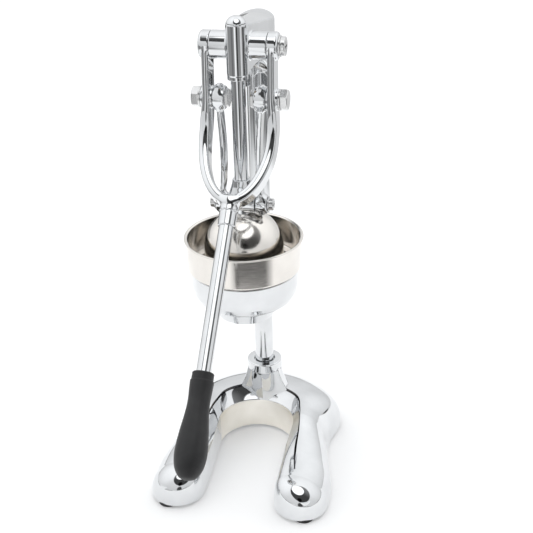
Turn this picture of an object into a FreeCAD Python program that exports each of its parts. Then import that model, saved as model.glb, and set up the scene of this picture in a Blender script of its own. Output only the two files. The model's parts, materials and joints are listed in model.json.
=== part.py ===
"""Hand-lever citrus press with a horseshoe base, about 528 mm tall at rest.

Frame: millimetres, +Z up, the lever reaches towards -Y and the post stands towards +Y.
The table is z = 0 and the origin lies under the middle of the whole press.
The press axis, on which the plunger, the dome, the cup and the spout all sit, is vertical at
x = 0 in the working frame below; everything is moved by SHIFT_Y when it is written out.
"""
import FreeCAD, Part
import math
import os

# ---- driving dimensions, in millimetres and degrees -------------------------------------
SHIFT_Y = 45.5            # moves the press axis so that the origin is mid-length

# base
FOOT_HEIGHT = 4.0         # rubber below the casting
GLASS_RADIUS = 44.0       # machined wall of the horseshoe
GLASS_Y = 28.0            # centre of that wall, behind the press axis
WALL_TOP = 40.0           # top of the machined wall
CREST = 57.0              # highest line of the cast arch
TOE_CREST = 41.0          # height of the toes
TOE_X = 70.5              # middle of a toe
TOE_Y = -66.0             # where the toe starts to round off
TOE_RADIUS = 30.5
WAIST = 85.5              # half width of the base at its waist
REAR_RADIUS = 104.0       # round back of the base, and its centre
REAR_Y = 56.0
BOSS_TOP = 95.0
BOSS_RADIUS = 20.5
CAST_WALL = 8.0           # thickness of the hollow casting
BOLT_SEAT = 22.0          # roof of the counterbore for the post's bolt

# post
POST_Y = 84.0
POST_RADIUS = 11.0
POST_FOOT = 44.0          # lower end of the post inside the base
POST_TOP = 497.0

# head
HEAD_TOP = 511.0
HEAD_BOTTOM = 433.0
SOCKET_RADIUS = 20.0
CROWN_RADIUS = 42.5       # crown across the top of the head
CROWN_RISE = 9.0          # how much higher the crown is at the sleeve than at the post
POCKET_TOP = 453.0        # two arched pockets in the front of the socket
POCKET_RADIUS = 6.0
POCKET_X = 7.7
PIVOT_Y = 12.0
PIVOT_Z = 496.0
BARREL_RADIUS = 14.0
BARREL_HALF = 28.7        # half length of the cross barrel
SLEEVE_BOTTOM = 465.5
SLEEVE_TOP = 520.3
CAP_HEIGHT = 7.2
SLEEVE_RADIUS = 10.0
AXLE_RADIUS = 6.0
AXLE_INNER = 10.7         # inner ends of the pivot screws, clear of the rod

# plunger
ROD_RADIUS = 7.25
HUB_TOP = 361.0
LINK_LOW_Z = 334.0        # height of the lower link pivots at rest
DOME_RADIUS = 42.0
DOME_CENTRE_Z = 284.0
DOME_SKIRT = 271.0
DOME_WALL = 1.6
ROD_BOTTOM = 322.6        # lower end of the rod, where the dome's screw seats

# lever
CRANK = 52.5              # pivot to link bolt
CRANK_LEAN = 5.0          # degrees forward of straight down
HANDLE_DROP = 43.3        # degrees below the horizontal
EDGE_RADIUS = 2.4         # rounded edges of the fork's straps
BOSS_PROUD = 0.4          # how far the bosses stand out of the straps
BEND_RADIUS = 90.0        # side bend of the fork
BEND_CORNER = 88.5        # path length at which the straight parts would meet
ARM_INNER = 29.0
ARM_OUTER = 39.6
STRAP_THICK = 7.0         # the arms between their two bosses
CROTCH = 156.0            # path length from the pivot to the inside of the fork
SOCKET_END = 187.5        # path length to the lower end of the fork's socket
GRIP_START = 334.0
GRIP_END = 434.0
TUBE_RADIUS = 7.25

# links
LINK_INNER = 14.8
LINK_OUTER = 26.8
EYE_RADIUS = 11.8
LOW_EYE_RADIUS = 9.5
NUT_INNER = 11.0
SCREW_GRIP = 7.0          # depth of the lower screws in the crosshead

# cup and its holder
RIM_Z = 296.0
CUP_RADIUS = 62.0
HOLDER_TOP = 262.0
HOLDER_RADIUS = 58.0
HOLDER_FLOOR = 221.0
SPOUT_TOP_RADIUS = 36.5
SPOUT_RADIUS = 31.0
SPOUT_BOTTOM = 206.0

GAP = 0.3                 # between parts that move past each other
FIT = 0.05                # radial clearance of a shaft in its hole

V = FreeCAD.Vector
X_DIR = V(1, 0, 0)
Z_DIR = V(0, 0, 1)


# ---- small helpers --------------------------------------------------------------------
def rod(radius, start, end):
    """A round bar between two points."""
    axis = end - start
    return Part.makeCylinder(radius, axis.Length, start, axis)


def tube(outer, inner, start, end):
    return rod(outer, start, end).cut(rod(inner, start, end))


def turned(profile, centre=V(0, 0, 0)):
    """Solid of revolution about the vertical through centre; profile is (radius, z) points."""
    points = [centre + V(r, 0, z) for r, z in profile]
    face = Part.Face(Part.makePolygon(points + points[:1]))
    return face.revolve(centre, Z_DIR, 360)


def fuse(shapes):
    result = shapes[0]
    for shape in shapes[1:]:
        result = result.fuse(shape)
    return result.removeSplitter()


def hexagon(across_flats, start, end):
    """Hexagonal bar along X between two points."""
    corner = across_flats / math.sqrt(3)
    points = []
    for k in range(7):
        angle = math.radians(60 * k)
        points.append(start + V(0, corner * math.sin(angle), corner * math.cos(angle)))
    return Part.Face(Part.makePolygon(points)).extrude(end - start)


def mirrored(shape):
    return shape.mirror(V(0, 0, 0), X_DIR)


def smooth_ring(points):
    """Closed smooth wire through the points."""
    curve = Part.BSplineCurve()
    curve.interpolate(points, True)
    return Part.Wire([curve.toShape()])


# ---- base -----------------------------------------------------------------------------
def arm_section(inner, outer, crest, crest_share, floor):
    """Wire of the arm of the base between two plan points, flat below and humped above."""
    across = outer - inner
    rise = crest - floor
    heights = ((0.0, 0.0), (-0.01, 0.30), (0.01, 0.62), (0.10, 0.88), (crest_share, 1.0),
               (0.50, 0.95), (0.74, 0.76), (0.91, 0.46), (0.985, 0.20), (1.0, 0.0))
    points = []
    for share, height in heights:
        place = inner + across * share
        points.append(V(place.x, place.y, floor + rise * height))
    curve = Part.BSplineCurve()
    curve.interpolate(points)
    bottom = Part.LineSegment(points[-1], points[0])
    return Part.Wire([curve.toShape(), bottom.toShape()])


def outline_radius(angle):
    """Outer edge of the base, measured from the centre of the glass space."""
    sine = math.sin(math.radians(angle))
    cosine = math.cos(math.radians(angle))
    offset = REAR_Y - GLASS_Y
    arc = offset * sine + math.sqrt(REAR_RADIUS ** 2 - (offset * cosine) ** 2)
    if angle >= 48:
        return arc
    blend = min(max((angle - 14.0) / 34.0, 0.0), 1.0)
    blend = blend * blend * (3 - 2 * blend)
    return WAIST / cosine * (1 - blend) + arc * blend


def right_half_sections(inset, floor):
    """Sections of the right arm of the base, from its toe to the middle of the back."""
    sections = []
    # the rounded toe
    for angle in (84, 68, 50, 32, 15):
        half = TOE_RADIUS * math.cos(math.radians(angle)) - inset
        y = TOE_Y - (TOE_RADIUS - inset) * math.sin(math.radians(angle))
        if half < 3:
            continue
        low = math.cos(math.radians(angle)) ** 0.7
        crest = floor + (TOE_CREST - inset - floor) * low
        middle = TOE_X
        sections.append(arm_section(V(middle - half, y, 0), V(middle + half, y, 0), crest,
                                    0.40, floor))
    # the leg
    for y, inner_x, outer_x, crest in ((-60, 40.3, 101.0, 42.0), (-40, 40.0, 101.0, 44.0),
                                       (-18, 41.0, 97.0, 48.0), (5, 42.6, 92.0, 52.0)):
        sections.append(arm_section(V(inner_x + inset, y, 0), V(outer_x - inset, y, 0),
                                    crest - inset, 0.30, floor))
    # the arch
    centre = V(0, GLASS_Y, 0)
    for angle in (0, 15, 30, 45, 60, 75, 90):
        way = V(math.cos(math.radians(angle)), math.sin(math.radians(angle)), 0)
        share = 0.26 - 0.10 * math.sin(math.radians(angle))
        inner = centre + way * (GLASS_RADIUS - 2.0 + inset)
        outer = centre + way * (outline_radius(angle) - inset)
        sections.append(arm_section(inner, outer, CREST - inset, share, floor))
    return sections


def horseshoe(inset, floor):
    right = right_half_sections(inset, floor)
    left = [mirrored(wire) for wire in right[:-1]]
    return Part.makeLoft(right + left[::-1], True, False)


def foot_places():
    return [V(77, -84, 0), V(-77, -84, 0), V(62, 112, 0), V(-62, 112, 0)]


def cast_hollow():
    """Hollow under the casting, which leaves columns for the post and the feet."""
    hollow = horseshoe(CAST_WALL, FOOT_HEIGHT - 1.0)
    hollow = hollow.cut(rod(GLASS_RADIUS + CAST_WALL, V(0, GLASS_Y, -5), V(0, GLASS_Y, 70)))
    hollow = hollow.cut(rod(BOSS_RADIUS, V(0, POST_Y, -5), V(0, POST_Y, 70)))
    for place in foot_places():
        hollow = hollow.cut(rod(8.5, place - V(0, 0, 5), place + V(0, 0, 70)))
    return hollow


def bow_section(tip, shoulder_x, shoulder_y, z):
    """Plan of the boss's pointed front at one height."""
    points = [V(0, tip, z), V(shoulder_x, shoulder_y, z), V(shoulder_x, POST_Y, z),
              V(-shoulder_x, POST_Y, z), V(-shoulder_x, shoulder_y, z)]
    return Part.makePolygon(points + points[:1])


def boss():
    """Boss for the post: a ring above, a flare behind and a pointed front like a ship's bow."""
    ring_low = 84.0
    flare = turned([(0, 30), (30, 30), (30, 52), (26, 64), (23, 76), (BOSS_RADIUS, ring_low + 3),
                    (0, ring_low + 3)], V(0, POST_Y, 0))
    flare = flare.cut(Part.makeBox(80, 60, 80, V(-40, POST_Y - 60, 20)))
    ring = turned([(0, ring_low), (BOSS_RADIUS, ring_low), (BOSS_RADIUS, BOSS_TOP - 1),
                   (BOSS_RADIUS - 1, BOSS_TOP), (0, BOSS_TOP)], V(0, POST_Y, 0))
    upper = bow_section(POST_Y - BOSS_RADIUS, 15.0, POST_Y - 14.0, ring_low + 4)
    lower = bow_section(71.0, 30.0, 83.0, 38.0)
    return ring.fuse(flare).fuse(Part.makeLoft([upper, lower], True, True))


def base_casting():
    body = horseshoe(0.0, FOOT_HEIGHT).fuse(boss()).cut(cast_hollow())
    glass = rod(GLASS_RADIUS, V(0, GLASS_Y, -1), V(0, GLASS_Y, WALL_TOP))
    slope = Part.makeCone(GLASS_RADIUS, GLASS_RADIUS - 14, 18, V(0, GLASS_Y, WALL_TOP))
    body = body.cut(glass).cut(slope)
    # bore for the post, with the bolt's hole and its counterbore below
    body = body.cut(rod(POST_RADIUS + FIT, V(0, POST_Y, POST_FOOT), V(0, POST_Y, 100)))
    body = body.cut(rod(POST_RADIUS + 1.0, V(0, POST_Y, BOSS_TOP - 1.0), V(0, POST_Y, 100)))
    body = body.cut(rod(4.3, V(0, POST_Y, 0), V(0, POST_Y, POST_FOOT)))
    body = body.cut(rod(8.8, V(0, POST_Y, 0), V(0, POST_Y, BOLT_SEAT)))
    # screw holes for the feet and the set screw's hole at the back
    for place in foot_places():
        body = body.cut(rod(2.0 + FIT, place, place + V(0, 0, FOOT_HEIGHT + 12.3)))
    body = body.cut(rod(3.0 + FIT, V(0, POST_Y + POST_RADIUS, 82), V(0, POST_Y + 30, 82)))
    return body


def rubber_feet():
    feet = []
    for place in foot_places():
        foot = Part.makeCone(11.0, 12.0, FOOT_HEIGHT, place)
        foot = foot.cut(rod(4.3, place, place + V(0, 0, 2.4)))
        feet.append(foot.cut(rod(2.2, place, place + V(0, 0, 6))))
    return Part.makeCompound(feet)


def foot_screws():
    screws = []
    for place in foot_places():
        head = rod(4.0, place + V(0, 0, 0.8), place + V(0, 0, 2.4))
        screws.append(head.fuse(rod(2.0, place + V(0, 0, 2.0), place + V(0, 0, 16))))
    return Part.makeCompound(screws)


# ---- post -----------------------------------------------------------------------------
def post():
    body = rod(POST_RADIUS, V(0, POST_Y, POST_FOOT), V(0, POST_Y, POST_TOP))
    return body.cut(rod(4.0 + FIT, V(0, POST_Y, POST_FOOT), V(0, POST_Y, POST_FOOT + 25)))


def post_bolt():
    points = []
    for k in range(7):
        angle = math.radians(60 * k)
        corner = 13 / math.sqrt(3)
        points.append(V(corner * math.cos(angle), POST_Y + corner * math.sin(angle),
                        BOLT_SEAT - 7.1))
    head = Part.Face(Part.makePolygon(points)).extrude(V(0, 0, 5.5))
    return head.fuse(rod(4.0, V(0, POST_Y, BOLT_SEAT - 3), V(0, POST_Y, POST_FOOT + 24)))


def post_washer():
    return tube(8.4, 4.3, V(0, POST_Y, BOLT_SEAT - 1.6), V(0, POST_Y, BOLT_SEAT))


# ---- head -----------------------------------------------------------------------------
def head_web():
    """Tapered web, tangent to the socket and the sleeve, with an arched underside."""
    spread = POST_Y
    fall = (SOCKET_RADIUS - SLEEVE_RADIUS) / spread
    across = math.sqrt(1 - fall * fall)
    front = V(SLEEVE_RADIUS * across, -SLEEVE_RADIUS * fall, HEAD_BOTTOM)
    rear = V(SOCKET_RADIUS * across, POST_Y - SOCKET_RADIUS * fall, HEAD_BOTTOM)
    plan = [front, rear, mirror_point(rear), mirror_point(front)]
    web = Part.Face(Part.makePolygon(plan + plan[:1])).extrude(V(0, 0, 110))
    arch = Part.Arc(V(-30, 4, 470), V(-30, 34, 473), V(-30, 68, 454)).toShape()
    below = Part.makePolygon([V(-30, 68, 454), V(-30, 68, 400), V(-30, -20, 400), V(-30, -20, 470),
                              V(-30, 4, 470)])
    underside = Part.Face(Part.Wire([arch] + below.Edges)).extrude(V(60, 0, 0))
    return web.cut(underside)


def head_crown():
    """Space under the crowned top of the head, which rises towards the sleeve."""
    half = 30.0
    drop = CROWN_RADIUS - math.sqrt(CROWN_RADIUS ** 2 - half ** 2)
    top = V(0, POST_Y, HEAD_TOP)
    left = V(-half, POST_Y, HEAD_TOP - drop)
    right = V(half, POST_Y, HEAD_TOP - drop)
    crown = Part.Arc(left, top, right).toShape()
    below = Part.makePolygon([right, V(half, POST_Y, 380), V(-half, POST_Y, 380), left])
    face = Part.Face(Part.Wire([crown] + below.Edges))
    reach = 1.3
    front = face.extrude(V(0, -POST_Y * reach, CROWN_RISE * reach))
    return front.fuse(face.extrude(V(0, 30, 0)))


def head_casting():
    socket = rod(SOCKET_RADIUS, V(0, POST_Y, HEAD_BOTTOM), V(0, POST_Y, HEAD_TOP + 5))
    barrel = rod(BARREL_RADIUS, V(-BARREL_HALF, PIVOT_Y, PIVOT_Z), V(BARREL_HALF, PIVOT_Y, PIVOT_Z))
    sleeve = Part.makeCone(SLEEVE_RADIUS + 0.6, SLEEVE_RADIUS, SLEEVE_TOP - SLEEVE_BOTTOM,
                           V(0, 0, SLEEVE_BOTTOM))
    body = socket.fuse(head_web()).common(head_crown())
    body = body.fuse(barrel).fuse(sleeve)
    body = body.cut(rod(POST_RADIUS + FIT, V(0, POST_Y, 420), V(0, POST_Y, POST_TOP)))
    for side_x in (-1, 1):
        centre = V(side_x * POCKET_X, POST_Y, POCKET_TOP - POCKET_RADIUS)
        pocket = rod(POCKET_RADIUS, centre - V(0, 30, 0), centre)
        corner = centre - V(POCKET_RADIUS, 30, 30)
        body = body.cut(pocket).cut(Part.makeBox(2 * POCKET_RADIUS, 30, 30, corner))
    # bores for the guide bushes, the rod and the pivot's bushes
    body = body.cut(rod(ROD_RADIUS + 0.5, V(0, 0, 440), V(0, 0, 530)))
    for low, high in guide_spans():
        body = body.cut(rod(ROD_RADIUS + 1.3, V(0, 0, low), V(0, 0, high)))
    for side_x in (-1, 1):
        outer = V(side_x * BARREL_HALF, PIVOT_Y, PIVOT_Z)
        inner = V(side_x * (AXLE_INNER - 0.7), PIVOT_Y, PIVOT_Z)
        body = body.cut(rod(AXLE_RADIUS + 0.5, inner, outer))
        body = body.cut(rod(AXLE_RADIUS + 2.0, outer, outer - V(side_x * 14, 0, 0)))
    body = body.cut(rod(3.0 + FIT, V(0, POST_Y + POST_RADIUS, 476), V(0, POST_Y + 30, 476)))
    return body


def mirror_point(point):
    return V(-point.x, point.y, point.z)


def guide_spans():
    return ((SLEEVE_BOTTOM, SLEEVE_BOTTOM + 12), (SLEEVE_TOP - 8, SLEEVE_TOP))


def guide_bushes():
    bushes = []
    for low, high in guide_spans():
        bushes.append(tube(ROD_RADIUS + 1.3, ROD_RADIUS + FIT, V(0, 0, low), V(0, 0, high)))
    return Part.makeCompound(bushes)


def pivot_bushes():
    bushes = []
    for side_x in (-1, 1):
        outer = V(side_x * BARREL_HALF, PIVOT_Y, PIVOT_Z)
        bushes.append(tube(AXLE_RADIUS + 2.0, AXLE_RADIUS + FIT, outer, outer - V(side_x * 14, 0, 0)))
    return Part.makeCompound(bushes)


def set_screw(height):
    """Socket set screw that grips the post from behind."""
    start = V(0, POST_Y + POST_RADIUS, height)
    screw = rod(3.0, start, start + V(0, 8, 0))
    return screw.cut(rod(1.5, start + V(0, 5, 0), start + V(0, 9, 0)))


# ---- lever ----------------------------------------------------------------------------
def lever_point(distance, lateral=0.0):
    """Point on the lever's side line at a path distance from the pivot, with its direction."""
    lean = math.radians(90 - CRANK_LEAN)
    drop = math.radians(HANDLE_DROP)
    turn = lean - drop
    start = BEND_CORNER - BEND_RADIUS * math.tan(turn / 2)
    length = BEND_RADIUS * turn
    first = V(0, -math.cos(lean), -math.sin(lean))
    if distance <= start:
        place = V(lateral, PIVOT_Y, PIVOT_Z) + first * distance
        return place, first
    centre = V(lateral, PIVOT_Y, PIVOT_Z) + first * start
    centre = centre + V(0, -math.sin(lean), math.cos(lean)) * BEND_RADIUS
    swept = min((distance - start) / BEND_RADIUS, turn)
    angle = lean - swept
    place = centre - V(0, -math.sin(angle), math.cos(angle)) * BEND_RADIUS
    way = V(0, -math.cos(angle), -math.sin(angle))
    return place + way * max(distance - start - length, 0.0), way


def fork_section(distance, lateral, slope, thick, depth):
    """Rounded oblong section of the fork; slope is the lateral lean of its centre line."""
    place, way = lever_point(distance, lateral)
    front = way.cross(X_DIR)
    along = V(math.sin(slope), 0, 0) + way * math.cos(slope)
    side = along.cross(front)
    side.normalize()
    u = thick / 2
    v = depth / 2
    bend = EDGE_RADIUS * (1 - math.sqrt(0.5))
    arcs = []
    for a, b in ((1, 1), (-1, 1), (-1, -1), (1, -1)):
        corner = [(a * u, b * (v - EDGE_RADIUS)),
                  (a * (u - bend), b * (v - bend)),
                  (a * (u - EDGE_RADIUS), b * v)]
        if a != b:
            corner.reverse()
        arcs.append([place + side * p + front * q for p, q in corner])
    edges = []
    for arc, following in zip(arcs, arcs[1:] + arcs[:1]):
        edges.append(Part.Arc(*arc).toShape())
        edges.append(Part.makeLine(arc[2], following[0]))
    return Part.Wire(edges)


def fork():
    """Lever fork: two straps that run into a U and a socket for the handle's tube."""
    boss_thick = ARM_OUTER - ARM_INNER
    thick = boss_thick - 2 * BOSS_PROUD
    middle = (ARM_INNER + ARM_OUTER) / 2
    bend_start = 92.0
    top_depth = 27.0
    sections = []
    for distance in (54, 60, 66, 72, 79, 86):
        depth = top_depth - (distance - 54) / 8
        sections.append(fork_section(distance, middle, 0.0, thick, depth))
    reach = CROTCH + thick / 2 - bend_start
    for angle in (8, 24, 40, 56, 72, 90):
        a = math.radians(angle)
        distance = bend_start + reach * math.sin(a)
        slope = math.atan2(-middle * math.sin(a), reach * math.cos(a))
        sections.append(fork_section(distance, middle * math.cos(a), slope, thick,
                                     22 - 4.0 * math.sin(a)))
    arm = Part.makeLoft(sections, True, False)
    low, way = lever_point(54, middle)
    high = lever_point(0, middle)[0]
    strap_middle = ARM_INNER + BOSS_PROUD + STRAP_THICK / 2
    strap = fork_section(54, strap_middle, 0.0, STRAP_THICK, top_depth)
    strap = Part.Face(strap).extrude(high - low)
    arm = arm.fuse(strap)
    pieces = [arm, mirrored(arm)]
    bolt_place = lever_point(CRANK)[0]
    for side_x in (-1, 1):
        start = V(side_x * ARM_INNER, PIVOT_Y, PIVOT_Z)
        pieces.append(rod(BARREL_RADIUS, start, start + V(side_x * boss_thick, 0, 0)))
        start = bolt_place + V(side_x * (ARM_INNER - 1.9), 0, 0)
        pieces.append(rod(10.8, start, start + V(side_x * (boss_thick + 1.9), 0, 0)))
    top, way = lever_point(CROTCH + 5)
    end = lever_point(SOCKET_END)[0]
    pieces.append(Part.makeCone(9.6, 8.8, (end - top).Length, top, way))
    body = pieces[0]
    for piece in pieces[1:]:
        body = body.fuse(piece)
    pivot = V(ARM_OUTER + 1, PIVOT_Y, PIVOT_Z)
    body = body.cut(rod(AXLE_RADIUS, mirror_point(pivot), pivot))
    bolt_out = bolt_place + V(ARM_OUTER + 3, 0, 0)
    body = body.cut(rod(6.0, mirror_point(bolt_out), bolt_out))
    hole = lever_point(CROTCH + 14)[0]
    return body.cut(rod(TUBE_RADIUS, hole, end + way))


def handle_tube():
    start = lever_point(CROTCH + 14)[0]
    end = lever_point(GRIP_END - 12)[0]
    return tube(TUBE_RADIUS, TUBE_RADIUS - 1.5, start, end)


def grip():
    """Moulded grip, a slim neck swelling to a rounded end, with a collar at its mouth."""
    profile = [(0.0, 10.4), (8.0, 10.4), (8.4, 11.3), (16.0, 11.0), (28.0, 10.5), (40.0, 11.4),
               (56.0, 13.6), (70.0, 15.0), (80.0, 15.0), (90.0, 12.8), (97.0, 8.4), (100.0, 0.0)]
    corner = [V(r, 0, d) for d, r in profile[:3]]
    curve = Part.BSplineCurve()
    curve.interpolate([V(r, 0, d) for d, r in profile[2:]])
    edges = [Part.LineSegment(V(0, 0, 0), corner[0]).toShape()]
    for first, second in zip(corner, corner[1:]):
        edges.append(Part.LineSegment(first, second).toShape())
    edges.append(curve.toShape())
    edges.append(Part.LineSegment(V(0, 0, profile[-1][0]), V(0, 0, 0)).toShape())
    body = Part.Face(Part.Wire(edges)).revolve(V(0, 0, 0), Z_DIR, 360)
    body = body.cut(rod(TUBE_RADIUS, V(0, 0, -1), V(0, 0, GRIP_END - 12 - GRIP_START)))
    start, way = lever_point(GRIP_START)
    body.Placement = FreeCAD.Placement(start, FreeCAD.Rotation(Z_DIR, way))
    return body


def pivot_screws():
    """Two short screws on which the fork turns: a headed one and a flush one with a hex socket."""
    outer = V(ARM_OUTER + 1.6, PIVOT_Y, PIVOT_Z)
    shank = rod(AXLE_RADIUS, V(AXLE_INNER, PIVOT_Y, PIVOT_Z), outer)
    head = rod(9.5, outer, outer + V(3.2, 0, 0))
    crown = Part.makeCone(9.5, 7.0, 1.6, outer + V(3.2, 0, 0), X_DIR)
    right = shank.fuse(head).fuse(crown)
    for size in (V(4, 11, 2.2), V(4, 2.2, 11)):
        corner = outer + V(3.0, -size.y / 2, -size.z / 2)
        right = right.cut(Part.makeBox(size.x, size.y, size.z, corner))
    flush = V(-ARM_OUTER, PIVOT_Y, PIVOT_Z)
    left = rod(AXLE_RADIUS, V(-AXLE_INNER, PIVOT_Y, PIVOT_Z), flush)
    left = left.cut(hexagon(6, flush, flush + V(5, 0, 0)))
    return Part.makeCompound([right, left])


def pivot_washer():
    return tube(10.5, AXLE_RADIUS + FIT, V(ARM_OUTER, PIVOT_Y, PIVOT_Z),
                V(ARM_OUTER + 1.6, PIVOT_Y, PIVOT_Z))


def link_bolts():
    """Hex bolts through the arms of the fork, as far as the arms' inner faces."""
    place = lever_point(CRANK)[0]
    seat = place + V(ARM_OUTER + 1.8, 0, 0)
    head = hexagon(19, seat, seat + V(7.5, 0, 0))
    dome = Part.makeSphere(13.2, seat + V(-3.4, 0, 0))
    body = head.common(dome).fuse(rod(6.0, place + V(ARM_INNER - 1.9, 0, 0), seat))
    return Part.makeCompound([body, mirrored(body)])


def link_washers():
    place = lever_point(CRANK)[0]
    start = place + V(ARM_OUTER, 0, 0)
    washer = tube(10.8, 6.0 + FIT, start, start + V(1.8, 0, 0))
    return Part.makeCompound([washer, mirrored(washer)])


# ---- links ----------------------------------------------------------------------------
def link():
    """Right-hand link: two thick eyes joined by a slim bar that bows inwards."""
    top = lever_point(CRANK)[0]
    low = V(0, 0, LINK_LOW_Z)
    eyes = []
    for place, radius in ((top, EYE_RADIUS), (low, LOW_EYE_RADIUS)):
        eyes.append(rod(radius, place + V(LINK_INNER, 0, 0), place + V(LINK_OUTER, 0, 0)))
    sections = []
    for share in (0.0, 0.15, 0.35, 0.55, 0.75, 0.9, 1.0):
        place = top + (low - top) * share
        middle = 21.6 - 3.4 * math.sin(math.pi * share ** 1.3)
        wide = 17.0 - 3.0 * share - 3.0 * math.sin(math.pi * share)
        points = []
        for k in range(12):
            angle = 2 * math.pi * k / 12
            c = math.cos(angle)
            s = math.sin(angle)
            u = math.copysign(abs(c) ** 0.7, c) * 3.5
            v = math.copysign(abs(s) ** 0.7, s) * wide / 2
            points.append(V(middle + u, place.y + v, place.z))
        sections.append(smooth_ring(points))
    body = fuse([Part.makeLoft(sections, True, False)] + eyes)
    return body.cut(rod(5.0 + FIT, low, low + V(40, 0, 0)))


def link_nut():
    """Right-hand thin nut on the inner side of the upper eye."""
    start = lever_point(CRANK)[0] + V(NUT_INNER, 0, 0)
    return hexagon(17, start, start + V(LINK_INNER - NUT_INNER, 0, 0))


# ---- plunger --------------------------------------------------------------------------
def plunger_rod():
    body = rod(ROD_RADIUS, V(0, 0, ROD_BOTTOM), V(0, 0, SLEEVE_TOP + GAP))
    body = body.fuse(rod(5.0, V(0, 0, SLEEVE_TOP + GAP), V(0, 0, SLEEVE_TOP + GAP + 4.0)))
    return body.cut(rod(4.0, V(0, 0, ROD_BOTTOM), V(0, 0, ROD_BOTTOM + 20)))


def rod_cap():
    """Domed cap that screws onto the rod and comes to rest just above the sleeve."""
    base = SLEEVE_TOP + GAP
    radius = (SLEEVE_RADIUS ** 2 + CAP_HEIGHT ** 2) / (2 * CAP_HEIGHT)
    dome = Part.makeSphere(radius, V(0, 0, base + CAP_HEIGHT - radius))
    dome = dome.common(rod(20, V(0, 0, base), V(0, 0, base + 20)))
    return dome.cut(rod(5.0, V(0, 0, base), V(0, 0, base + 4.0)))


def lower_screws():
    """Shoulder screws on which the links turn, threaded into the ends of the crosshead."""
    low = V(0, 0, LINK_LOW_Z)
    seat = low + V(LINK_OUTER + GAP, 0, 0)
    body = rod(5.0, low + V(LINK_INNER - SCREW_GRIP, 0, 0), seat)
    body = body.fuse(rod(8.0, seat, seat + V(1.4, 0, 0)))
    body = body.fuse(rod(6.2, seat + V(1.4, 0, 0), seat + V(5.0, 0, 0)))
    body = body.fuse(Part.makeCone(6.2, 4.6, 1.2, seat + V(5.0, 0, 0), X_DIR))
    for size in (V(4, 7.4, 1.6), V(4, 1.6, 7.4)):
        corner = seat + V(4.4, -size.y / 2, -size.z / 2)
        body = body.cut(Part.makeBox(size.x, size.y, size.z, corner))
    return Part.makeCompound([body, mirrored(body)])


def press_hub():
    """Crosshead: a flared collar over a block that carries the links and the dome."""
    collar = turned([(0, 340), (14.2, 340), (12.8, 347), (10.6, 354), (9.4, HUB_TOP - 1),
                     (8.6, HUB_TOP), (0, HUB_TOP)])
    bar = rod(11.0, V(-LINK_INNER + GAP, 0, LINK_LOW_Z), V(LINK_INNER - GAP, 0, LINK_LOW_Z))
    neck = rod(10.0, V(0, 0, DOME_CENTRE_Z + DOME_RADIUS - 2.0), V(0, 0, 342))
    body = fuse([collar, bar, neck])
    body = body.cut(rod(ROD_RADIUS + FIT, V(0, 0, 300), V(0, 0, 380)))
    for side_x in (-1, 1):
        end = V(side_x * LINK_INNER, 0, LINK_LOW_Z)
        body = body.cut(rod(5.0, end, end - V(side_x * SCREW_GRIP, 0, 0)))
    inside = Part.makeSphere(DOME_RADIUS, V(0, 0, DOME_CENTRE_Z))
    return body.cut(inside)


def press_dome():
    """Thin pressing dome with a short skirt and a hole for its screw."""
    outer = Part.makeSphere(DOME_RADIUS, V(0, 0, DOME_CENTRE_Z))
    inner = Part.makeSphere(DOME_RADIUS - DOME_WALL, V(0, 0, DOME_CENTRE_Z))
    cut_low = rod(60, V(0, 0, DOME_CENTRE_Z - 60), V(0, 0, DOME_CENTRE_Z))
    cap = outer.cut(inner).cut(cut_low)
    skirt = tube(DOME_RADIUS, DOME_RADIUS - DOME_WALL, V(0, 0, DOME_SKIRT), V(0, 0, DOME_CENTRE_Z))
    body = fuse([cap, skirt])
    return body.cut(rod(ROD_RADIUS + FIT, V(0, 0, 310), V(0, 0, 340)))


def dome_screw():
    """Wide-headed screw under the dome, into the end of the rod."""
    head = rod(11.5, V(0, 0, ROD_BOTTOM - 2.6), V(0, 0, ROD_BOTTOM))
    return head.fuse(rod(4.0, V(0, 0, ROD_BOTTOM - 1), V(0, 0, ROD_BOTTOM + 18)))


# ---- cup and holder -------------------------------------------------------------------
def bowl_holder():
    """Chromed bowl with a spout below and a clamp round the post behind."""
    outer = [(0, SPOUT_BOTTOM), (SPOUT_RADIUS, SPOUT_BOTTOM), (SPOUT_TOP_RADIUS, HOLDER_FLOOR),
             (46, 223.2), (52.5, 228), (56.5, 235.5), (HOLDER_RADIUS, 244),
             (HOLDER_RADIUS + 0.4, HOLDER_TOP), (0, HOLDER_TOP)]
    inner = [(0, SPOUT_BOTTOM - 5), (SPOUT_RADIUS - 4, SPOUT_BOTTOM - 5),
             (SPOUT_TOP_RADIUS - 4.5, HOLDER_FLOOR + 3), (44, 226.2), (50, 230.6), (53.4, 237),
             (54.6, 244), (55.0, HOLDER_TOP + 5), (0, HOLDER_TOP + 5)]
    bowl = turned(outer)
    clamp = rod(17.5, V(0, POST_Y, 224), V(0, POST_Y, 258))
    arm = Part.makeBox(26, 40, 26, V(-13, 46, 229))
    body = fuse([bowl, clamp, arm]).cut(turned(inner))
    body = body.cut(rod(POST_RADIUS + FIT, V(0, POST_Y, 200), V(0, POST_Y, 290)))
    return body.cut(rod(3.0 + FIT, V(0, POST_Y + POST_RADIUS, 241), V(0, POST_Y + 30, 241)))


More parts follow.
